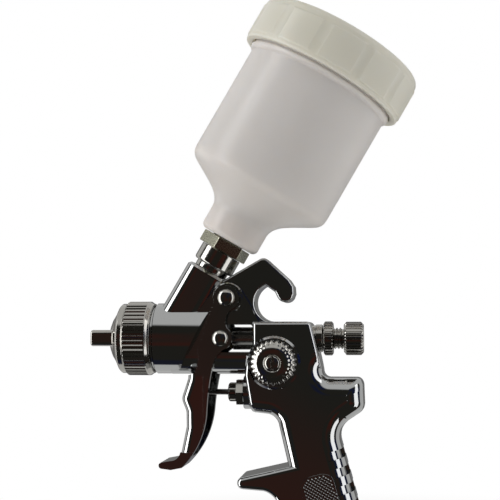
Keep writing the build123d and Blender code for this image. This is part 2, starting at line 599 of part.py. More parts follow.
with BuildPart() as pull_pin_screw:
    revolve(cross_turned(*PULL_PIN, (-5.5, 0), (-5.5, 1.25), (-TRIGGER_HALF, 1.25), (-TRIGGER_HALF, 3.2),
                         (-TRIGGER_HALF - 0.5, 3.2), (-TRIGGER_HALF - 1.2, 2.6),
                         (-TRIGGER_HALF - 1.7, 1.4), (-TRIGGER_HALF - 1.9, 0)), axis=crosswise(*PULL_PIN))
    with BuildSketch(across(*PULL_PIN, y=TRIGGER_HALF + 2.8)):
        Rectangle(7.0, 0.8)
    extrude(amount=1.7, mode=Mode.SUBTRACT)
finish(pull_pin_screw, "pull_pin_screw")

# ---- Cup ----
with BuildPart() as cup_connector:
    revolve(outline(cup_side, (2.5, 17.6), (2.5, 43.0), (4.4, 43.0), (4.4, HEX_LOW), (7.9, HEX_LOW),
                    (7.9, 31.6), (7.4, 31.1), (6.4, 31.1), (6.4, BOSS_TOP + 0.1), (5.5, BOSS_TOP + 0.1),
                    (5.5, 17.6)), axis=cup_axis)
finish(cup_connector, "cup_connector")

with BuildPart() as cup_hex:
    extrude(hexagon(cup_section.offset(HEX_LOW + 0.1), HEX_AF, turn=20.0), amount=HEX_HIGH - HEX_LOW - 0.1)
    revolve(outline(cup_side, (0, HEX_HIGH - 0.1), (6.0, HEX_HIGH - 0.1), (6.0, 50.0), (0, 50.0)),
            axis=cup_axis)
    revolve(outline(cup_side, (0, 30.0), (4.45, 30.0), (4.45, 51.0), (0, 51.0)), axis=cup_axis,
            mode=Mode.SUBTRACT)
finish(cup_hex, "cup_hex")

CUP_INNER = CUP_R - CUP_WALL
with BuildPart() as cup:
    with BuildSketch(cup_side):
        with BuildLine():
            Polyline((6.05, CUP_FLOOR - 0.8), (CUP_NECK_R - 1.4, CUP_FLOOR - 0.8), (CUP_NECK_R, CUP_FLOOR + 0.4),
                     (CUP_NECK_R, 51.5))
            Spline((CUP_NECK_R, 51.5), (13.6, 55.2), (18.0, 58.6), (24.4, 62.2), tangents=[(0, 1), (1, 0.5)])
            Line((24.4, 62.2), (26.4, 63.4))
            TangentArc((26.4, 63.4), (CUP_R, 66.6), tangent=(1, 0.6))
            Polyline((CUP_R, 66.6), (CUP_R, LID_LOW - 2.5), (CUP_R + 1.6, LID_LOW - 2.0))
            Polyline((CUP_R + 1.6, LID_LOW - 2.0), (CUP_R + 1.6, LID_LOW - 0.6), (CUP_R + 0.6, LID_LOW - 0.4),
                     (CUP_R + 0.6, CUP_RIM), (CUP_INNER, CUP_RIM), (CUP_INNER, 67.2), (25.2, 64.8),
                     (17.0, 60.4), (12.6, 56.4), (10.2, 52.0), (10.2, 50.6), (6.05, 50.6),
                     (6.05, CUP_FLOOR - 0.8))
        make_face()
    revolve(axis=cup_axis)
finish(cup, "cup")

with BuildPart() as cup_lid:
    revolve(outline(cup_side, (CUP_R + 1.9, LID_LOW), (LID_R - 0.4, LID_LOW), (LID_R, LID_LOW + 0.5),
                    (LID_R, LID_HIGH - 2.0), (LID_R - 0.6, LID_HIGH - 0.7), (LID_R - 2.0, LID_HIGH),
                    (3.1, LID_HIGH + 0.6), (3.1, LID_HIGH - 1.4), (CUP_R + 0.9, LID_HIGH - 1.8),
                    (CUP_R + 0.9, LID_LOW + 1.6), (CUP_R + 1.9, LID_LOW + 1.0)), axis=cup_axis)
finish(cup_lid, "cup_lid")

with BuildPart() as lid_gasket:
    revolve(outline(cup_side, (CUP_INNER - 1.0, CUP_RIM + 0.05), (CUP_R + 0.55, CUP_RIM + 0.05),
                    (CUP_R + 0.55, LID_HIGH - 1.85), (CUP_INNER - 1.0, LID_HIGH - 1.75)), axis=cup_axis)
finish(lid_gasket, "lid_gasket")

with BuildPart() as lid_vent_plug:
    revolve(outline(cup_side, (0, LID_HIGH - 3.6), (1.6, LID_HIGH - 3.6), (3.05, LID_HIGH - 2.6),
                    (2.9, LID_HIGH + 0.7), (4.6, LID_HIGH + 0.7), (4.6, LID_HIGH + 1.8),
                    (4.2, LID_HIGH + 2.2), (0.6, LID_HIGH + 2.2), (0.6, LID_HIGH - 2.4), (0, LID_HIGH - 2.4)),
            axis=cup_axis)
finish(lid_vent_plug, "lid_vent_plug")

with BuildPart() as paint_filter:
    revolve(outline(cup_side, (2.4, 43.05), (4.0, 43.05), (4.0, 58.0), (2.6, 60.0), (0, 60.0), (0, 59.2),
                    (2.2, 59.2), (3.3, 57.6), (3.3, 44.0), (2.4, 44.0)), axis=cup_axis)
finish(paint_filter, "paint_filter")

# ---- Air inlet ----
with BuildPart() as air_inlet_nipple:
    extrude(hexagon(inlet_section.offset(1.25), 16.0, turn=30.0), amount=3.6)
    revolve(outline(inlet_side, (0, -8.6), (5.0, -8.6), (5.0, 5.6), (6.0, 5.6), (6.58, 6.2),
                    (6.58, NIPPLE_LONG), (0, NIPPLE_LONG)), axis=inlet_axis)
    revolve(outline(inlet_side, (0, -9.0), (3.0, -9.0), (3.0, 12.0), (4.6, NIPPLE_LONG + 0.5),
                    (0, NIPPLE_LONG + 0.5)), axis=inlet_axis, mode=Mode.SUBTRACT)
finish(air_inlet_nipple, "air_inlet_nipple")

with BuildPart() as inlet_washer:
    extrude(washer(inlet_section.offset(0.05), 8.4, 5.1), amount=1.15)
finish(inlet_washer, "inlet_washer")
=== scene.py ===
import json
import math

import bmesh
import bpy
from mathutils import Matrix, Vector


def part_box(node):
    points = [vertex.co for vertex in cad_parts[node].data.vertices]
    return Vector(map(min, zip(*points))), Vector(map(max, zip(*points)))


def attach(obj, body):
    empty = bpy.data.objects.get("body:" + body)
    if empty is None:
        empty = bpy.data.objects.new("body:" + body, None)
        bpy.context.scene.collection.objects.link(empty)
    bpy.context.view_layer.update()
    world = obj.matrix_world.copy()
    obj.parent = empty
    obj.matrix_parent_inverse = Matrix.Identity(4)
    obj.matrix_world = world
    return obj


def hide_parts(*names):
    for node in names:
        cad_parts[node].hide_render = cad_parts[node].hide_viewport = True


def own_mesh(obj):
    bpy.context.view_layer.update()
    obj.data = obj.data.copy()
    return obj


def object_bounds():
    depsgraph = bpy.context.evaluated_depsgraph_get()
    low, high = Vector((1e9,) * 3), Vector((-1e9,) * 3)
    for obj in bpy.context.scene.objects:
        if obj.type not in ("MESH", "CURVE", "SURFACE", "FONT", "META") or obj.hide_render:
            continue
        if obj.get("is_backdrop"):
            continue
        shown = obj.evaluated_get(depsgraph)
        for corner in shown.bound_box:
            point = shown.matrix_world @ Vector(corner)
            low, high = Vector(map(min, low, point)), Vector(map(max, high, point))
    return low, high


bl_info = {
    "name": "Gravity-feed spray gun",
    "version": (1, 0, 0),
    "blender": (4, 5, 0),
    "location": "View3D > Sidebar > Spray gun",
    "description": "Models the finished surfaces of a gravity-feed spray gun round its fixed frame",
    "category": "Object",
}

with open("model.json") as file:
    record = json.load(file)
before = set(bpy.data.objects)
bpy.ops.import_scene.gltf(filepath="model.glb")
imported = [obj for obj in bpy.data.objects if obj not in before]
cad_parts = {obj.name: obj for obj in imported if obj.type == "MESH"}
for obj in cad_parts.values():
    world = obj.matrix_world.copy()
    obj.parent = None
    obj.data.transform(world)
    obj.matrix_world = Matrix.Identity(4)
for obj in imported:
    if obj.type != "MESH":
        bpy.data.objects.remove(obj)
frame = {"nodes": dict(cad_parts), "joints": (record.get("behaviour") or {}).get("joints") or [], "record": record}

MM = 0.001
WHOLE_TURN = math.tau
PATCH = 1e-7                  # vertices closer than this are one vertex

JOINTS = {joint["name"]: joint for joint in frame["joints"]}
MOUNTS = {mount["name"]: mount for mount in frame["record"]["mounts"]}


# ---- Places, all read from the frame ----

def along(point, direction):
    """Where a piece made up the Z axis goes: its foot at the point, and up along the direction."""
    return Matrix.Translation(Vector(point)) @ Vector(direction).to_track_quat("Z", "Y").to_matrix().to_4x4()


def middle(node):
    low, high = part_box(node)
    return (low + high) / 2


DATUM = Vector(JOINTS["cap_turn"]["pos_m"])
NEEDLE_LINE = along(DATUM, (1, 0, 0))
CUP_LINE = along(JOINTS["cup_unscrew"]["pos_m"], JOINTS["cup_unscrew"]["axis"])
FAN_LINE = along(JOINTS["fan_turn"]["pos_m"], (0, -1, 0))
PIVOT_LINE = along(JOINTS["trigger_pull"]["pos_m"], (0, -1, 0))
PULL_LINE = along((middle("pull_pin").x, 0, middle("pull_pin").z), (0, -1, 0))
VALVE_LINE = along((DATUM.x, 0, middle("air_valve_nut").z), (1, 0, 0))
INLET_AXIS = Vector(MOUNTS["air_inlet"]["axis"])
GRIP_HALF = 10.5 * MM
TRIGGER_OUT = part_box("trigger")[1].y / MM
INLET_LINE = along((0, 0, 0), INLET_AXIS)


def side_place(back, up, out=0.0):
    """A point given in mm: rearward and up from the datum, and out towards -Y."""
    return DATUM + Vector((back, -out, up)) * MM


# ---- Colours and materials ----

def paint(code):
    """An sRGB hex colour as a linear one."""
    channels = [int(code[place:place + 2], 16) / 255 for place in (1, 3, 5)]
    linear = [c / 12.92 if c <= 0.04045 else ((c + 0.055) / 1.055) ** 2.4 for c in channels]
    return (*linear, 1.0)


def put(tree, kind, sockets=None, **settings):
    """A new node: its settings, then its sockets, each a number, a colour or another node's output."""
    node = tree.nodes.new(kind)
    for name, value in settings.items():
        setattr(node, name, value)
    for name, value in (sockets or {}).items():
        if isinstance(value, bpy.types.NodeSocket):
            tree.links.new(value, node.inputs[name])
        else:
            node.inputs[name].default_value = value
    return node


def blank(name, **sockets):
    """A material with one Principled shader, and the object's own coordinates to draw on it with."""
    material = bpy.data.materials.new(name)
    material.use_nodes = True
    tree = material.node_tree
    tree.nodes.clear()
    shader = put(tree, "ShaderNodeBsdfPrincipled")
    for socket, value in sockets.items():
        shader.inputs[socket.replace("_", " ")].default_value = value
    put(tree, "ShaderNodeOutputMaterial", {"Surface": shader.outputs["BSDF"]})
    where = put(tree, "ShaderNodeTexCoord").outputs["Object"]
    return material, tree, shader, where


def per(size_mm):
    """The texture scale that gives a pattern a real size in millimetres."""
    return 1 / (size_mm * MM)


def vary(tree, shader, socket, source, low, high):
    """Drives one of the shader's numbers from a pattern, between two values."""
    spread = put(tree, "ShaderNodeMapRange", {"Value": source, "To Min": low, "To Max": high})
    tree.links.new(spread.outputs["Result"], shader.inputs[socket])


def emboss(tree, shader, source, depth_mm):
    """Raises the surface by a pattern, at most by this depth."""
    bump = put(tree, "ShaderNodeBump", {"Height": source, "Distance": depth_mm * MM})
    tree.links.new(bump.outputs["Normal"], shader.inputs["Normal"])


def tint(tree, shader, source, first, second):
    """Runs the base colour between two colours by a pattern."""
    mix = put(tree, "ShaderNodeMix", {"Factor": source, "A": first, "B": second}, data_type="RGBA")
    tree.links.new(mix.outputs["Result"], shader.inputs["Base Color"])


def chrome_plate_on_cast_zinc(name, colour, ripple_mm=9.0, ripple_depth=0.010):
    """Chrome plate over a polished casting: a dark mirror that waves a little, as the buffing left it."""
    material, tree, shader, where = blank(name, Base_Color=colour, Metallic=1.0)
    wave = put(tree, "ShaderNodeTexNoise", {"Vector": where, "Scale": per(ripple_mm), "Detail": 1.0})
    haze = put(tree, "ShaderNodeTexNoise", {"Vector": where, "Scale": per(3.0), "Detail": 4.0})
    vary(tree, shader, "Roughness", haze.outputs["Fac"], 0.03, 0.09)
    emboss(tree, shader, wave.outputs["Fac"], ripple_depth)
    return material


def chrome_plate_on_turned_brass(name, colour, line_mm=0.12):
    """Chrome plate over lathe work: a mirror with fine tool lines, which blur it a little."""
    material, tree, shader, where = blank(name, Base_Color=colour, Metallic=1.0)
    lines = put(tree, "ShaderNodeTexNoise", {"Vector": where, "Scale": per(line_mm), "Detail": 2.0})
    vary(tree, shader, "Roughness", lines.outputs["Fac"], 0.08, 0.17)
    emboss(tree, shader, lines.outputs["Fac"], 0.0015)
    return material


def satin_nickel_plate(name, colour):
    """Nickel plate left satin: soft grey reflections, a shade yellower than chrome."""
    material, tree, shader, where = blank(name, Base_Color=colour, Metallic=1.0)
    grain = put(tree, "ShaderNodeTexNoise", {"Vector": where, "Scale": per(0.25), "Detail": 3.0})
    vary(tree, shader, "Roughness", grain.outputs["Fac"], 0.20, 0.34)
    emboss(tree, shader, grain.outputs["Fac"], 0.003)
    return material


def ground_stainless_steel(name, colour):
    """Centreless-ground stainless steel: bright, with a fine grain of short scratches."""
    material, tree, shader, where = blank(name, Base_Color=colour, Metallic=1.0)
    stretch = put(tree, "ShaderNodeMapping", {"Vector": where, "Scale": (8.0, 1.0, 1.0)})
    grain = put(tree, "ShaderNodeTexNoise", {"Vector": stretch.outputs["Vector"], "Scale": per(0.6),
                                             "Detail": 3.0})
    vary(tree, shader, "Roughness", grain.outputs["Fac"], 0.14, 0.26)
    return material


def turned_metal(name, colour, roughness):
    """Bare turned metal, as aluminium or brass: soft reflections with tool marks across the axis."""
    material, tree, shader, where = blank(name, Base_Color=colour, Metallic=1.0)
    marks = put(tree, "ShaderNodeTexNoise", {"Vector": where, "Scale": per(0.2), "Detail": 2.0})
    vary(tree, shader, "Roughness", marks.outputs["Fac"], roughness, roughness + 0.12)
    emboss(tree, shader, marks.outputs["Fac"], 0.002)
    return material


def moulded_seal(name, colour, roughness):
    """A moulded seal, as PTFE, polyethylene or nitrile rubber: dull, with a faint mottle."""
    material, tree, shader, where = blank(name, Base_Color=colour, Roughness=roughness)
    mottle = put(tree, "ShaderNodeTexNoise", {"Vector": where, "Scale": per(1.2), "Detail": 3.0})
    emboss(tree, shader, mottle.outputs["Fac"], 0.01)
    vary(tree, shader, "Roughness", mottle.outputs["Fac"], roughness - 0.08, roughness + 0.08)
    return material


def moulded_polypropylene(name, colour, cloud_colour, glow_mm):
    """Natural polypropylene, injection moulded: milky, lit from within, under a soft gloss."""
    material, tree, shader, where = blank(
        name, Roughness=0.34, IOR=1.49, Subsurface_Weight=0.75, Subsurface_Scale=glow_mm * MM,
        Subsurface_Radius=(1.0, 0.92, 0.82), Subsurface_Anisotropy=0.3)
    cloud = put(tree, "ShaderNodeTexNoise", {"Vector": where, "Scale": per(24.0), "Detail": 2.0})
    skin = put(tree, "ShaderNodeTexNoise", {"Vector": where, "Scale": per(1.6), "Detail": 3.0})
    tint(tree, shader, cloud.outputs["Fac"], colour, cloud_colour)
    vary(tree, shader, "Roughness", skin.outputs["Fac"], 0.28, 0.42)
    emboss(tree, shader, skin.outputs["Fac"], 0.006)
    return material


def woven_nylon(name, colour):
    """A nylon filter basket: a fine square mesh, drawn at 0.5 mm so that it shows."""
    material, tree, shader, where = blank(name, Base_Color=colour, Roughness=0.5)
    mesh = put(tree, "ShaderNodeTexChecker", {"Vector": where, "Scale": per(0.5)})
    emboss(tree, shader, mesh.outputs["Fac"], 0.1)
    return material


# ---- Modelling by hand, with the operators ----

def put_down():
    """Leaves edit mode with nothing selected, and vertices as what the next edit selects."""
    if bpy.context.mode != "OBJECT":
        bpy.ops.mesh.select_mode(type="VERT")
        bpy.ops.object.mode_set(mode="OBJECT")
    bpy.ops.object.select_all(action="DESELECT")


def take_up(piece):
    put_down()
    piece.select_set(True)
    bpy.context.view_layer.objects.active = piece


def edit(piece):
    take_up(piece)
    bpy.ops.object.mode_set(mode="EDIT")


def pick(rule, kind="VERT"):
    """Selects, in the mesh being edited, what the rule accepts.

    The rule is given an element's middle and its normal, or for an edge its middle and the edge itself.
    """
    mesh = bmesh.from_edit_mesh(bpy.context.edit_object.data)
    bpy.ops.mesh.select_mode(type=kind)
    bpy.ops.mesh.select_all(action="DESELECT")
    chosen = {"VERT": mesh.verts, "EDGE": mesh.edges, "FACE": mesh.faces}[kind]
    for element in chosen:
        if kind == "VERT":
            keep = rule(element.co, element.normal)
        elif kind == "EDGE":
            keep = rule((element.verts[0].co + element.verts[1].co) / 2, element)
        else:
            keep = rule(element.calc_center_median(), element.normal)
        element.select_set(bool(keep))
    bmesh.update_edit_mesh(bpy.context.edit_object.data)


def rounded(points, radius, steps=3):
    """A line with its inner corners rounded: each corner gives way to a short curve."""
    made = [points[0]]
    for before, corner, after in zip(points, points[1:], points[2:]):
        first, second = Vector(before) - Vector(corner), Vector(after) - Vector(corner)
        reach = min(radius, first.length * 0.45, second.length * 0.45)
        start, end = Vector(corner) + first.normalized() * reach, Vector(corner) + second.normalized() * reach
        for step in range(steps + 1):
            t = step / steps
            made.append(tuple(start * (1 - t) ** 2 + Vector(corner) * 2 * t * (1 - t) + end * t ** 2))
    return [*made, points[-1]]


def draw(name, points):
    """Draws a line of vertices: a plane shrunk to one vertex, then drawn out point by point, in mm."""
    put_down()
    places = [Vector(point) * MM for point in points]
    bpy.ops.mesh.primitive_plane_add(size=MM, location=(0, 0, 0))
    piece = bpy.context.object
    piece.name = name
    piece.data.name = name
    bpy.ops.object.mode_set(mode="EDIT")
    bpy.ops.mesh.select_all(action="SELECT")
    bpy.ops.mesh.merge(type="CENTER")
    bpy.ops.transform.translate(value=places[0])
    for here, there in zip(places, places[1:]):
        bpy.ops.mesh.extrude_vertices_move(TRANSFORM_OT_translate={"value": there - here})
    return piece


def turn(name, profile, steps=96, edge=0.0):
    """A lathe piece up the Z axis: a profile of (up, radius) in mm is drawn, rounded and spun."""
    points = [(radius, 0.0, up) for up, radius in profile]
    closed = points[0] == points[-1]
    if edge:
        points = rounded(points, edge)
    piece = draw(name, points)
    bpy.ops.mesh.select_all(action="SELECT")
    bpy.ops.mesh.spin(steps=steps, angle=WHOLE_TURN, center=(0, 0, 0), axis=(0, 0, 1))
    bpy.ops.mesh.select_all(action="SELECT")
    bpy.ops.mesh.remove_doubles(threshold=PATCH * 10)
    bpy.ops.mesh.normals_make_consistent(inside=False)
    if not closed and (points[0][0] > 0 or points[-1][0] > 0):
        bpy.ops.mesh.select_all(action="DESELECT")
        bpy.ops.mesh.select_mode(type="EDGE")
        bpy.ops.mesh.select_non_manifold()
        bpy.ops.mesh.edge_face_add()
        bpy.ops.mesh.select_all(action="SELECT")
        bpy.ops.mesh.normals_make_consistent(inside=False)
    return piece


def column(place, steps):
    """Which of a lathe piece's columns of vertices a place is in, counted round from +X."""
    return round((math.atan2(place.y, place.x) / WHOLE_TURN) % 1.0 * steps) % steps


def within(place, low, high, least_radius):
    """Whether a place is between two heights and outside a radius, all in mm."""
    return low * MM < place.z < high * MM and math.hypot(place.x, place.y) > least_radius * MM


def press(rule, factor):
    """Moves the picked vertices towards or away from the Z axis."""
    pick(rule)
    bpy.ops.transform.resize(value=(factor, factor, 1), center_override=(0, 0, 0))


def flute(low, high, count, steps, factor, least_radius=0.0):
    """Presses straight grooves into a lathe piece between two heights, in mm."""
    per_flute = steps // count

    def in_groove(place, normal):
        deep = column(place, steps) % per_flute < per_flute / 2
        return deep and within(place, low, high, least_radius)
    press(in_groove, factor)


def wind(piece, pitch, turns, steps):
    """Screws an outline round and up the Z axis, and turns its faces outwards."""
    take_up(piece)
    bpy.ops.object.modifier_add(type="SCREW")
    screw = piece.modifiers[-1]
    screw.angle = WHOLE_TURN
    screw.iterations = turns
    screw.screw_offset = pitch * MM
    screw.steps = steps
    screw.render_steps = steps
    screw.use_merge_vertices = False
    bpy.ops.object.modifier_apply(modifier=screw.name)
    edit(piece)
    bpy.ops.mesh.select_all(action="SELECT")
    bpy.ops.mesh.normals_make_consistent(inside=False)
    return piece


def helix(name, radius, wire, pitch, turns, foot, steps=32, sides=10):
    """A coil of round wire up the Z axis: a circle is added, stood up and screwed round."""
    put_down()
    bpy.ops.mesh.primitive_circle_add(vertices=sides, radius=wire * MM, fill_type="NGON",
                                      location=(radius * MM, 0, foot * MM), rotation=(math.pi / 2, 0, 0))
    piece = bpy.context.object
    piece.name = name
    piece.data.name = name
    bpy.ops.object.transform_apply(location=True, rotation=True, scale=True)
    return wind(piece, pitch, turns, steps)


def thread(name, outer, depth, pitch, turns, foot, steps=32):
    """A V thread up the Z axis: a three-sided profile screwed round, closed at its ends."""
    half = pitch * 0.42
    profile = [(outer - depth, 0, -half), (outer, 0, -0.06 * pitch), (outer, 0, 0.06 * pitch),
               (outer - depth, 0, half), (outer - depth - 0.4, 0, half), (outer - depth - 0.4, 0, -half)]
    piece = draw(name, [(x, y, z + foot) for x, y, z in profile])
    bpy.ops.mesh.select_all(action="SELECT")
    bpy.ops.mesh.edge_face_add()
    return wind(piece, pitch, turns, steps)


def merge(first, *others):
    """Joins pieces into the first."""
    take_up(first)
    for other in others:
        other.select_set(True)
    bpy.ops.object.join()
    return first


def soften(piece, width, segments=2, angle=32.0):
    """Rounds the piece's sharp edges over and keeps its flat faces flat."""
    take_up(piece)
    bpy.ops.object.modifier_add(type="BEVEL")
    bevel = piece.modifiers[-1]
    bevel.width = width * MM
    bevel.segments = segments
    bevel.limit_method = "ANGLE"
    bevel.angle_limit = math.radians(angle)
    bevel.use_clamp_overlap = True
    bpy.ops.object.modifier_apply(modifier=bevel.name)
    return piece


def copy_of(node, name):
    """A merged copy of a CAD node, for finishing by hand. The node itself is left alone."""
    put_down()
    source = frame["nodes"][node]
    piece = bpy.data.objects.new(name, source.data.copy())
    piece.data.name = name
    bpy.context.scene.collection.objects.link(piece)
    take_up(piece)
    bpy.ops.mesh.customdata_custom_splitnormals_clear()
    bpy.ops.object.mode_set(mode="EDIT")
    bpy.ops.mesh.select_all(action="SELECT")
    bpy.ops.mesh.remove_doubles(threshold=PATCH * 20)
    bpy.ops.mesh.dissolve_limited(angle_limit=math.radians(0.5))
    put_down()
    piece.data.materials.clear()
    return piece


def settle(piece, place, body, slot, material, *nodes, smooth=35.0):
    """Puts a finished piece where it belongs, shades it, hangs it on the body it rides on, and hides the CAD nodes
    it stands for.
    """
    take_up(piece)
    if place is not None:
        piece.matrix_world = place
        bpy.ops.object.transform_apply(location=True, rotation=True, scale=True)
    bpy.ops.object.shade_smooth_by_angle(angle=math.radians(smooth))
    bpy.ops.object.modifier_add(type="WEIGHTED_NORMAL")
    shading = piece.modifiers[-1]
    shading.keep_sharp = True
    bpy.ops.object.modifier_apply(modifier=shading.name)
    piece.data.materials.clear()
    piece.data.materials.append(material)
    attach(piece, body)
    if nodes:
        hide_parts(*nodes)
    put_down()
    return piece


def refinish(material, slot, *nodes):
    """Gives CAD nodes that stay as they are a better material."""
    for name in nodes:
        node = frame["nodes"][name]
        for place in node.material_slots:
            place.material = material


# ---- Sizes and colours that a user would change ----

class SprayGunSettings(bpy.types.PropertyGroup):
    chrome: bpy.props.FloatVectorProperty(
        name="Chrome", description="Colour of the chrome plate on the casting", subtype="COLOR",
        size=4, min=0, max=1, default=paint("#B4B5B5"))
    fittings: bpy.props.FloatVectorProperty(
        name="Turned chrome", description="Colour of the chrome plate on turned parts", subtype="COLOR",
        size=4, min=0, max=1, default=paint("#B0AEA9"))
    nickel: bpy.props.FloatVectorProperty(
        name="Nickel", description="Colour of the satin nickel hexagon", subtype="COLOR",
        size=4, min=0, max=1, default=paint("#B2B19F"))
    cup: bpy.props.FloatVectorProperty(
        name="Cup plastic", description="Colour of the milky cup", subtype="COLOR",
        size=4, min=0, max=1, default=paint("#DDD7D2"))
    lid: bpy.props.FloatVectorProperty(
        name="Lid plastic", description="Colour of the milky lid", subtype="COLOR",
        size=4, min=0, max=1, default=paint("#D6D3C9"))
    ring_flutes: bpy.props.IntProperty(
        name="Ring flutes", description="Grooves round the air cap ring", default=48, min=12, max=96)
    knob_flutes: bpy.props.IntProperty(
        name="Knob flutes", description="Grooves round the fluid knob", default=30, min=12, max=60)


def gun():
    return bpy.context.scene.spray_gun


# ---- Body casting ----

class SPRAYGUN_OT_casting(bpy.types.Operator):
    """Plate the body casting and press the diamond knurl into both sides of the grip"""
    bl_idname = "spraygun.casting"
    bl_label = "Body casting"

    def execute(self, context):
        plate = chrome_plate_on_cast_zinc("chrome_plate_on_cast_zinc", gun().chrome)
        refinish(plate, "chrome_body", "gun_body")
        for side_name, out in (("left", 1), ("right", -1)):
            grip_pad(f"grip_knurl_{side_name}", out, plate)
        return {"FINISHED"}


# The knurled pads, in mm.
PAD_MIDDLE = (80.0, -62.5)     # rearward and up from the datum
PAD_LONG = 28.0
PAD_WIDE = 11.2
PAD_RISE = 0.2
PAD_RIM = 0.5                  # how far the plate reaches past the points
PAD_SHOULDER = 1.8             # how far down the plate's upper corners are cut
PAD_CROWN = 0.16               # how much the field of points falls at its upper corners, as a share
KNURL_PITCH = 1.4
KNURL_FOOT = 0.76              # share of the pitch that a point covers
KNURL_TIP = 0.1                # radius of a point's flat tip
KNURL_RISE = 0.28
KNURL_ROWS = 44                # each way, before the points off the pad are deleted


def pick_islands(piece, rule):
    """In edit mode, selects whole loose pieces of a mesh whose middle passes the rule."""
    pick(lambda place, normal: False)
    mesh = bmesh.from_edit_mesh(piece.data)
    met = set()
    for vert in mesh.verts:
        if vert in met:
            continue
        island, waiting = [], [vert]
        met.add(vert)
        while waiting:
            here = waiting.pop()
            island.append(here)
            for spoke in here.link_edges:
                other = spoke.other_vert(here)
                if other not in met:
                    met.add(other)
                    waiting.append(other)
        if rule(sum((point.co for point in island), Vector()) / len(island)):
            for point in island:
                point.select_set(True)
    bmesh.update_edit_mesh(piece.data)


def grip_pad(name, out, material):
    """A raised pad on the grip, rounded at its top, with a field of four-sided points."""
    foot = side_place(*PAD_MIDDLE)
    foot.y = -out * GRIP_HALF
    place = Matrix.Translation(foot) @ Vector((0, -out, 0)).to_track_quat("Z", "Y").to_matrix().to_4x4()
    # Made flat: X across the grip, Y along it, Z out from its side.
    step = KNURL_PITCH / 2 * MM
    put_down()
    bpy.ops.mesh.primitive_cone_add(vertices=4, radius1=KNURL_FOOT * step, radius2=KNURL_TIP * MM,
                                    depth=KNURL_RISE * MM,
                                    location=(0, 0, (PAD_RISE + KNURL_RISE / 2) * MM))
    piece = bpy.context.object
    piece.data.name = name
    bpy.ops.object.transform_apply(location=True, rotation=True, scale=True)
    for way in ((step, step, 0), (step, -step, 0)):
        bpy.ops.object.modifier_add(type="ARRAY")
        row = piece.modifiers[-1]
        row.use_relative_offset = False
        row.use_constant_offset = True
        row.constant_offset_displace = way
        row.count = KNURL_ROWS
        bpy.ops.object.modifier_apply(modifier=row.name)
    edit(piece)
    bpy.ops.mesh.select_all(action="SELECT")
    bpy.ops.transform.translate(value=((1 - KNURL_ROWS) * step, 0, 0))

    def off_pad(centre):
        across = abs(centre.x) / (PAD_WIDE / 2 * MM)
        upward = centre.y / (PAD_LONG / 2 * MM)
        return across > 1 or upward < -1 or upward > 1 - PAD_CROWN * across ** 2
    pick_islands(piece, off_pad)
    bpy.ops.mesh.delete(type="VERT")
    # The plate that the points stand on.
    wide, tall = PAD_WIDE / 2 + PAD_RIM, PAD_LONG / 2 + PAD_RIM
    corners = [(-wide, -tall, 0), (wide, -tall, 0), (wide, tall - PAD_SHOULDER, 0), (wide / 2, tall, 0),
               (-wide / 2, tall, 0), (-wide, tall - PAD_SHOULDER, 0)]
    plate = draw(name + "_plate", rounded([*corners, corners[0]], 1.6, steps=4))
    bpy.ops.mesh.select_all(action="SELECT")
    bpy.ops.mesh.remove_doubles(threshold=PATCH)
    bpy.ops.mesh.edge_face_add()
    bpy.ops.mesh.select_all(action="SELECT")
    bpy.ops.mesh.extrude_region_move(TRANSFORM_OT_translate={"value": (0, 0, PAD_RISE * MM)})
    bpy.ops.mesh.select_all(action="SELECT")
    bpy.ops.mesh.normals_make_consistent(inside=False)
    soften(plate, 0.10)
    piece = merge(piece, plate)
    piece.name = name
    lean = math.atan2(INLET_AXIS.x, -INLET_AXIS.z)
    settle(piece, place @ Matrix.Rotation(lean * out, 4, "Z"), "gun", "chrome_body", material, smooth=20.0)


# ---- Air cap, its ring and the nozzle ----

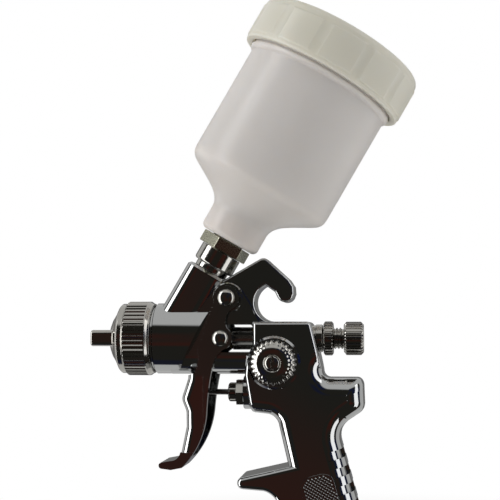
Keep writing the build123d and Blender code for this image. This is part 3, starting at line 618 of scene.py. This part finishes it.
class SPRAYGUN_OT_air_cap(bpy.types.Operator):
    """Turn the air cap, cut the flutes of its ring and finish the nozzle behind them"""
    bl_idname = "spraygun.air_cap"
    bl_label = "Air cap and ring"

    def execute(self, context):
        plate = chrome_plate_on_turned_brass("chrome_plate_on_turned_brass", gun().fittings)
        cap = copy_of("air_cap", "air_cap_turned")
        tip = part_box("air_cap")[0].x
        edit(cap)
        pick(lambda place, edge: place.x < tip + 0.01 * MM, kind="EDGE")
        bpy.ops.mesh.bevel(offset=0.8 * MM, segments=4, affect="EDGES", clamp_overlap=False)
        soften(cap, 0.22)
        settle(cap, None, "cap", "chrome_cap", plate, "air_cap")
        count = gun().ring_flutes
        steps = count * 4
        profile = [(2.0, 9.85), (3.3, 12.4), (3.9, 13.0), (5.6, 13.0), (6.2, 13.7), (6.4, 13.8),
                   (13.9, 13.8), (14.1, 13.8), (14.4, 13.8), (15.4, 13.1), (16.0, 12.9), (16.0, 12.15),
                   (3.2, 12.15), (3.2, 9.85), (2.0, 9.85)]
        ring = turn("air_cap_ring_fluted", profile, steps=steps, edge=0.12)
        flute(6.25, 14.0, count, steps, 0.97, least_radius=12.6)
        settle(ring, NEEDLE_LINE, "cap_ring", "chrome_ring", plate, "air_cap_ring", smooth=28.0)
        steel = ground_stainless_steel("ground_stainless_steel", paint("#B9B8B5"))
        refinish(steel, "stainless", "fluid_nozzle", "fluid_needle", "needle_carrier")
        refinish(turned_metal("turned_aluminium", paint("#C9CACC"), 0.25), "aluminium", "air_distributor")
        refinish(turned_metal("turned_brass", paint("#D9B56A"), 0.22), "brass", "needle_packing_nut",
                 "fan_needle")
        refinish(moulded_seal("moulded_ptfe", paint("#EFEFEA"), 0.45), "ptfe", "cap_seal", "needle_packing",
                 "air_valve_packing", "inlet_washer")
        refinish(moulded_seal("moulded_nitrile_rubber", paint("#1B1B1C"), 0.6), "seal_rubber",
                 "air_valve_seal", "fan_oring")
        refinish(moulded_seal("moulded_white_rubber", paint("#E9E8E2"), 0.5), "seal_white", "lid_gasket")
        refinish(woven_nylon("woven_nylon", paint("#ECECE8")), "filter_nylon", "paint_filter")
        return {"FINISHED"}


# ---- Trigger and its pins ----

class SPRAYGUN_OT_trigger(bpy.types.Operator):
    """Round over the trigger casting and turn the domed heads of its two pins"""
    bl_idname = "spraygun.trigger"
    bl_label = "Trigger"

    def execute(self, context):
        plate = chrome_plate_on_cast_zinc("chrome_plate_on_cast_lever", gun().chrome, ripple_mm=7.0)
        lever = soften(copy_of("trigger", "trigger_cast"), 0.7, segments=3, angle=40.0)
        settle(lever, None, "trigger", "chrome_trigger", plate, "trigger")
        shine = chrome_plate_on_turned_brass("chrome_plate_on_domes", gun().fittings)
        out = TRIGGER_OUT
        for name, place, body, radius, head, rise, node in (
                ("pivot_pin_domed", PIVOT_LINE, "gun", 2.5, 3.4, out + 0.25, "pivot_pin"),
                ("pull_pin_domed", PULL_LINE, "trigger", 2.6, 3.2, out, "pull_pin")):
            dome = [(0.5 + 1.4 * math.sin(a), (head - 0.35) * math.cos(a))
                    for a in [math.pi / 2 * step / 8 for step in range(9)]]
            dome[-1] = (dome[-1][0], 0.0)
            profile = [(-11.5, 0), (-11.5, radius), (rise, radius), (rise, head), (rise + 0.4, head),
                       *[(rise + up, r) for up, r in dome]]
            pin = turn(name, profile, steps=64)
            settle(pin, place, body, "chrome_fittings", shine, node)
        refinish(shine, "chrome_fittings", "pivot_screw", "pull_pin_screw")
        return {"FINISHED"}


# ---- Fluid control at the rear ----

class SPRAYGUN_OT_fluid_control(bpy.types.Operator):
    """Turn the fluid knob, its thread, its lock nut and the collar, and wind the needle spring"""
    bl_idname = "spraygun.fluid_control"
    bl_label = "Fluid control"

    def execute(self, context):
        plate = chrome_plate_on_turned_brass("chrome_plate_on_fluid_knob", gun().fittings)
        count = gun().knob_flutes
        steps = count * 6
        knob = turn("fluid_knob_fluted", [
            (86.6, 0), (86.6, 5.0), (87.0, 5.4), (87.5, 6.1), (87.6, 6.12), (92.8, 6.12), (92.9, 6.1),
            (93.7, 5.3), (93.9, 5.0), (93.9, 2.2), (93.7, 2.0), (93.7, 0)], steps=steps)
        flute(87.2, 93.3, count, steps, 0.93, least_radius=5.35)
        settle(knob, NEEDLE_LINE, "fluid_knob", "chrome_fittings", plate, "fluid_knob", smooth=28.0)
        shank = turn("fluid_screw_core", [(69.0, 2.6), (69.0, 3.3), (69.3, 3.42), (86.55, 3.42), (86.55, 2.6),
                                          (69.0, 2.6)], steps=64)
        ridge = thread("fluid_screw_ridge", 3.92, 0.55, 1.25, 13, 70.0)
        screw = merge(shank, ridge)
        screw.name = "fluid_screw_threaded"
        settle(screw, NEEDLE_LINE, "fluid_knob", "chrome_fittings", plate, "fluid_screw")
        nut = turn("fluid_lock_nut_fluted", [
            (79.2, 4.0), (79.2, 5.5), (79.4, 5.8), (79.75, 6.22), (79.85, 6.25), (82.15, 6.25), (82.25, 6.22),
            (82.6, 5.8), (82.8, 5.5), (82.8, 4.0), (79.2, 4.0)], steps=steps)
        flute(79.5, 82.5, count, steps, 0.93, least_radius=5.9)
        settle(nut, NEEDLE_LINE, "lock_nut", "chrome_fittings", plate, "fluid_lock_nut", smooth=28.0)
        sleeve = soften(copy_of("guide_sleeve", "guide_sleeve_turned"), 0.15)
        settle(sleeve, None, "gun", "chrome_fittings", plate, "guide_sleeve")
        wire = turned_metal("drawn_spring_wire", paint("#8E8E90"), 0.22)
        low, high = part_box("needle_spring")
        length = (high.x - low.x) / MM
        coil = helix("needle_spring_coil", 1.9, 0.38, (length - 0.9) / 15, 15, 0.45)
        settle(coil, along((low.x, 0, DATUM.z), (1, 0, 0)), "gun", "spring_steel", wire, "needle_spring")
        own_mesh(coil)
        return {"FINISHED"}


# ---- Air valve ----

class SPRAYGUN_OT_air_valve(bpy.types.Operator):
    """Finish the air valve's hexagon, nut and stem, and wind its spring"""
    bl_idname = "spraygun.air_valve"
    bl_label = "Air valve"

    def execute(self, context):
        plate = chrome_plate_on_turned_brass("chrome_plate_on_air_valve", gun().fittings)
        bushing = soften(copy_of("air_valve_bushing", "air_valve_bushing_hexagon"), 0.3)
        settle(bushing, None, "gun", "chrome_fittings", plate, "air_valve_bushing")
        nut = turn("air_valve_nut_fluted", [
            (43.9, 1.15), (43.9, 2.8), (44.1, 3.2), (44.5, 3.5), (44.6, 3.5), (46.4, 3.5), (46.5, 3.5),
            (46.95, 3.1), (46.95, 2.15), (47.95, 2.15), (47.95, 1.15), (43.9, 1.15)], steps=72)
        flute(44.3, 46.6, 12, 72, 0.86, least_radius=3.15)
        settle(nut, VALVE_LINE, "gun", "chrome_fittings", plate, "air_valve_nut")
        steel = ground_stainless_steel("ground_stainless_stem", paint("#8C8A88"))
        refinish(steel, "stainless", "air_valve_stem")
        wire = turned_metal("drawn_valve_spring_wire", paint("#8E8E90"), 0.22)
        low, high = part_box("air_valve_spring")
        length = (high.x - low.x) / MM
        coil = helix("air_valve_spring_coil", 2.15, 0.42, (length - 1.0) / 6, 6, 0.5)
        settle(coil, along((low.x, 0, middle("air_valve_spring").z), (1, 0, 0)), "gun", "spring_steel", wire,
               "air_valve_spring")
        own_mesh(coil)
        return {"FINISHED"}


# ---- Fan control ----

BEADS = 26                     # round the fan knob's rim


class SPRAYGUN_OT_fan_control(bpy.types.Operator):
    """Turn the fan knob with its beaded rim, and finish its bushing and screw"""
    bl_idname = "spraygun.fan_control"
    bl_label = "Fan control"

    def execute(self, context):
        plate = chrome_plate_on_turned_brass("chrome_plate_on_fan_knob", gun().fittings)
        per_bead = 6
        steps = BEADS * per_bead
        profile = [(13.6, 1.6), (13.6, 7.4), (13.9, 7.9), (14.2, 8.1), (15.0, 8.2), (15.7, 8.2), (16.2, 8.1),
                   (16.7, 7.8), (17.0, 7.3), (17.3, 6.8), (17.5, 6.3), (17.7, 5.9), (17.9, 5.5), (18.0, 5.2),
                   (17.9, 4.9), (17.85, 3.2), (17.5, 2.7), (17.2, 2.7), (17.2, 1.2), (14.2, 1.2), (14.2, 1.6),
                   (13.6, 1.6)]
        knob = turn("fan_knob_beaded", profile, steps=steps)

        def bead(offset, low, high):
            def rule(place, normal):
                raised = (column(place, steps) + offset) % per_bead < per_bead / 2
                return raised and within(place, low, high, 5.7)
            return rule
        press(bead(0, 13.8, 17.1), 0.93)
        press(bead(3, 17.2, 17.6), 0.97)
        settle(knob, FAN_LINE, "fan_control", "chrome_fittings", plate, "fan_knob", smooth=30.0)
        screw = soften(copy_of("fan_knob_screw", "fan_knob_screw_slotted"), 0.12)
        settle(screw, None, "fan_control", "chrome_fittings", plate, "fan_knob_screw")
        refinish(plate, "chrome_fittings", "fan_bushing")
        return {"FINISHED"}


# ---- Paint cup ----

LID_PADS = 12                  # finger pads round the lid


class SPRAYGUN_OT_cup(bpy.types.Operator):
    """Mould the cup and its lid, and turn the fittings that carry them"""
    bl_idname = "spraygun.cup"
    bl_label = "Paint cup"

    def execute(self, context):
        plate = chrome_plate_on_turned_brass("chrome_plate_on_cup_stem", gun().fittings)
        connector = turn("cup_connector_turned", [
            (17.6, 2.5), (43.0, 2.5), (43.0, 4.4), (37.5, 4.4), (37.5, 7.9), (31.7, 7.9), (31.1, 7.4),
            (31.1, 6.4), (29.0, 6.4), (29.0, 5.5), (17.6, 5.5), (17.6, 2.5)], steps=96, edge=0.25)
        settle(connector, CUP_LINE, "cup", "chrome_fittings", plate, "cup_connector")
        nickel = satin_nickel_plate("satin_nickel_plate", gun().nickel)
        hexagon = soften(copy_of("cup_hex", "cup_hexagon"), 0.35)
        settle(hexagon, None, "cup", "satin_chrome", nickel, "cup_hex")
        milky = moulded_polypropylene("moulded_polypropylene", gun().cup, paint("#D4CDC8"), 5.0)
        wall_out, wall_in, neck = 28.25, 26.75, 11.7
        outside = [(42.4, 6.05), (42.4, neck - 1.3), (43.6, neck), (51.6, neck), (53.4, 12.3), (55.1, 13.5),
                   (56.6, 15.1), (58.5, 18.0), (60.4, 21.3), (62.2, 24.5), (63.6, 26.7), (65.2, 27.9),
                   (67.2, wall_out), (109.0, wall_out), (109.6, 29.2), (111.0, 29.4), (111.2, 28.85),
                   (124.5, 28.85)]
        inside = [(124.5, wall_in), (67.6, wall_in), (64.9, 25.4), (60.4, 17.0), (56.6, 12.6), (53.0, 10.4),
                  (50.6, 10.2), (50.6, 6.05), (42.4, 6.05)]
        cup = turn("cup_moulded", outside + inside, steps=128, edge=0.9)
        settle(cup, CUP_LINE, "cup", "cup_plastic", milky, "cup", smooth=50.0)
        pale = moulded_polypropylene("moulded_polyethylene_lid", gun().lid, paint("#D4D1C2"), 5.0)
        per_pad = 16
        steps = LID_PADS * per_pad
        lid_out = [(111.6, 29.75), (111.6, 32.1), (112.1, 32.3), (113.0, 32.3), (113.4, 32.3), (113.9, 32.3),
                   (124.6, 32.3), (125.1, 32.3), (125.6, 32.3), (126.8, 32.2), (127.8, 31.6), (128.5, 30.6),
                   (128.7, 28.0), (129.1, 3.1)]
        lid_in = [(127.1, 3.1), (126.7, 29.15), (113.2, 29.15), (112.6, 29.75), (111.6, 29.75)]
        lid = turn("cup_lid_moulded", lid_out + lid_in, steps=steps)

        def on_pad(place, normal):
            return column(place, steps) % per_pad < 13 and within(place, 113.2, 125.4, 32.0)
        press(on_pad, 32.65 / 32.3)
        soften(lid, 0.35, angle=20.0)
        settle(lid, CUP_LINE, "lid", "lid_plastic", pale, "cup_lid", smooth=50.0)
        plug = soften(copy_of("lid_vent_plug", "lid_vent_plug_moulded"), 0.25)
        settle(plug, None, "lid", "lid_plastic", pale, "lid_vent_plug")
        return {"FINISHED"}


# ---- Air inlet ----

class SPRAYGUN_OT_air_inlet(bpy.types.Operator):
    """Turn the air inlet with its hexagon and its pipe thread"""
    bl_idname = "spraygun.air_inlet"
    bl_label = "Air inlet"

    def execute(self, context):
        plate = chrome_plate_on_turned_brass("chrome_plate_on_air_inlet", gun().fittings)
        core = turn("air_inlet_core", [
            (-23.6, 3.0), (-23.6, 5.0), (-13.75, 5.0), (-10.2, 5.0), (-10.2, 6.0), (-8.9, 6.0), (-8.6, 5.75),
            (-0.5, 5.75), (0, 5.3), (0, 4.6), (-3.0, 3.0), (-23.6, 3.0)], steps=96)
        put_down()
        bpy.ops.mesh.primitive_cylinder_add(vertices=6, radius=16.0 / math.sqrt(3) * MM, depth=3.6 * MM,
                                            location=(0, 0, -11.95 * MM))
        hexagon = bpy.context.object
        bpy.ops.object.transform_apply(location=True, rotation=True, scale=True)
        soften(hexagon, 0.4)
        ridge = thread("air_inlet_ridge", 6.55, 0.80, 1.337, 5, -7.6, steps=48)
        inlet = merge(core, hexagon, ridge)
        inlet.name = "air_inlet_threaded"
        settle(inlet, INLET_LINE, "gun", "chrome_fittings", plate, "air_inlet_nipple")
        return {"FINISHED"}


class SPRAYGUN_OT_stage(bpy.types.Operator):
    """Lay a pale floor, light the gun softly and set the camera"""
    bl_idname = "spraygun.stage"
    bl_label = "Stage"

    def execute(self, context):
        lay_floor()
        light()
        aim_camera()
        return {"FINISHED"}


# Lengths in metres.
FLOOR_RADIUS = 3.0
FADE_START, FADE_END = 0.16, 0.40
ROOM_COLOUR = (0.72, 0.72, 0.71, 1)
BOX_WIDE, BOX_TALL, BOX_AWAY = 0.60, 2.6, 1.3
BOX_RISE = 4.0                 # degrees above level
LENS = 72.82                   # focal length in mm
CAMERA_AT = (0.006925, -0.375, 0.112925)
CAMERA_AIM = Vector((-0.03995, 0.0, 0.1448))


def lay_floor():
    """A wide pale floor under the gun, which fades into the white beyond."""
    low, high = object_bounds()
    put_down()
    bpy.ops.mesh.primitive_circle_add(vertices=96, radius=FLOOR_RADIUS, fill_type="NGON",
                                      location=((low.x + high.x) / 2, 0, low.z - 0.5 * MM))
    floor = bpy.context.object
    floor.name = "floor"
    bpy.ops.object.transform_apply(location=True, rotation=True, scale=True)
    material = bpy.data.materials.new("matt_white_paper")
    material.use_nodes = True
    tree = material.node_tree
    tree.nodes.clear()
    where = put(tree, "ShaderNodeTexCoord").outputs["Object"]
    reach = put(tree, "ShaderNodeVectorMath", {0: where}, operation="LENGTH")
    fade = put(tree, "ShaderNodeMapRange", {"Value": reach.outputs["Value"], "From Min": FADE_START,
                                            "From Max": FADE_END}, interpolation_type="SMOOTHSTEP")
    paper = put(tree, "ShaderNodeBsdfDiffuse", {"Color": paint("#F1F1EF")})
    glow = put(tree, "ShaderNodeEmission", {"Color": (1, 1, 1, 1), "Strength": 1.0})
    blend = put(tree, "ShaderNodeMixShader", {0: fade.outputs["Result"], 1: paper.outputs[0],
                                              2: glow.outputs[0]})
    put(tree, "ShaderNodeOutputMaterial", {"Surface": blend.outputs[0]})
    floor.data.materials.append(material)
    floor.visible_glossy = False
    floor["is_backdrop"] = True


def light():
    """A white room with a dark front, and a tall soft box on each side of the camera."""
    scene = bpy.context.scene
    scene.view_settings.view_transform = "Standard"
    world = bpy.data.worlds.new("studio")
    scene.world = world
    world.use_nodes = True
    tree = world.node_tree
    tree.nodes.clear()
    way = put(tree, "ShaderNodeTexCoord").outputs["Generated"]
    part = put(tree, "ShaderNodeSeparateXYZ", {"Vector": way})

    def edge(value, start, end):
        return put(tree, "ShaderNodeMapRange", {"Value": value, "From Min": start, "From Max": end},
                   interpolation_type="SMOOTHSTEP").outputs["Result"]

    def both(first, second, how):
        return put(tree, "ShaderNodeMath", {0: first, 1: second}, operation=how).outputs[0]

    behind = edge(part.outputs["Y"], 0.06, 0.14)
    overhead = edge(part.outputs["Z"], 0.62, 0.74)
    far = edge(part.outputs["Y"], 0.60, 0.78)
    level = both(edge(part.outputs["Z"], -0.45, -0.3), edge(part.outputs["Z"], 0.5, 0.35), "MULTIPLY")
    shade = both(far, level, "MULTIPLY")
    room = both(both(behind, overhead, "MAXIMUM"), both(shade, 0.75, "MULTIPLY"), "SUBTRACT")
    patches = put(tree, "ShaderNodeTexNoise", {"Vector": way, "Scale": 1.7, "Detail": 1.0})
    dark = put(tree, "ShaderNodeValToRGB", {"Fac": patches.outputs["Fac"]})
    ramp = dark.color_ramp
    ramp.elements[0].position, ramp.elements[0].color = 0.24, paint("#4A221B")
    ramp.elements[1].position, ramp.elements[1].color = 0.68, paint("#182040")
    for stop in (0.40, 0.56):
        ramp.elements.new(stop).color = paint("#2B2A26")
    bright = put(tree, "ShaderNodeMix", {"Factor": room, "A": dark.outputs["Color"], "B": ROOM_COLOUR},
                 data_type="RGBA")
    seen = put(tree, "ShaderNodeBackground", {"Color": bright.outputs["Result"], "Strength": 1.0})
    plain = put(tree, "ShaderNodeBackground", {"Color": (1, 1, 1, 1), "Strength": 1.0})
    path = put(tree, "ShaderNodeLightPath")
    choose = put(tree, "ShaderNodeMixShader", {0: path.outputs["Is Camera Ray"], 1: seen.outputs[0],
                                               2: plain.outputs[0]})
    put(tree, "ShaderNodeOutputWorld", {"Surface": choose.outputs[0]})

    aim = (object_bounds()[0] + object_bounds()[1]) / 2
    for name, bearing, power in (("soft_box_left", -66.0, 19.0), ("soft_box_right", 66.0, 8.5)):
        lamp = bpy.data.lights.new(name, "AREA")
        lamp.shape = "RECTANGLE"
        lamp.size = BOX_WIDE
        lamp.size_y = BOX_TALL
        lamp.energy = power
        holder = bpy.data.objects.new(name, lamp)
        bpy.context.scene.collection.objects.link(holder)
        turn_to, up = math.radians(bearing), math.radians(BOX_RISE)
        way_out = Vector((math.sin(turn_to) * math.cos(up), -math.cos(turn_to) * math.cos(up), math.sin(up)))
        holder.location = aim + way_out * BOX_AWAY
        holder.rotation_mode = "QUATERNION"
        holder.rotation_quaternion = way_out.to_track_quat("Z", "Y")
        holder.visible_camera = False


def aim_camera():
    """A near, slightly low camera square to the gun's left side."""
    data = bpy.data.cameras.new("camera")
    data.lens = LENS
    camera = bpy.data.objects.new("camera", data)
    bpy.context.scene.collection.objects.link(camera)
    camera.location = CAMERA_AT
    camera.rotation_mode = "QUATERNION"
    camera.rotation_quaternion = (CAMERA_AIM - camera.location).to_track_quat("-Z", "Y")
    bpy.context.scene.camera = camera


class SPRAYGUN_PT_panel(bpy.types.Panel):
    bl_label = "Spray gun"
    bl_idname = "SPRAYGUN_PT_panel"
    bl_space_type = "VIEW_3D"
    bl_region_type = "UI"
    bl_category = "Spray gun"

    def draw(self, context):
        for operator in OPERATORS:
            self.layout.operator(operator.bl_idname)


OPERATORS = [SPRAYGUN_OT_casting, SPRAYGUN_OT_air_cap, SPRAYGUN_OT_trigger, SPRAYGUN_OT_fluid_control,
             SPRAYGUN_OT_air_valve, SPRAYGUN_OT_fan_control, SPRAYGUN_OT_cup, SPRAYGUN_OT_air_inlet,
             SPRAYGUN_OT_stage]
CLASSES = [SprayGunSettings, *OPERATORS, SPRAYGUN_PT_panel]


def register():
    for cls in CLASSES:
        bpy.utils.register_class(cls)
    bpy.types.Scene.spray_gun = bpy.props.PointerProperty(type=SprayGunSettings)


def unregister():
    del bpy.types.Scene.spray_gun
    for cls in reversed(CLASSES):
        bpy.utils.unregister_class(cls)


def main():
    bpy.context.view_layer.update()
    register()
    bpy.ops.spraygun.casting()
    bpy.ops.spraygun.air_cap()
    bpy.ops.spraygun.trigger()
    bpy.ops.spraygun.fluid_control()
    bpy.ops.spraygun.air_valve()
    bpy.ops.spraygun.fan_control()
    bpy.ops.spraygun.cup()
    bpy.ops.spraygun.air_inlet()
    bpy.ops.spraygun.stage()


if __name__ == "__main__":
    main()
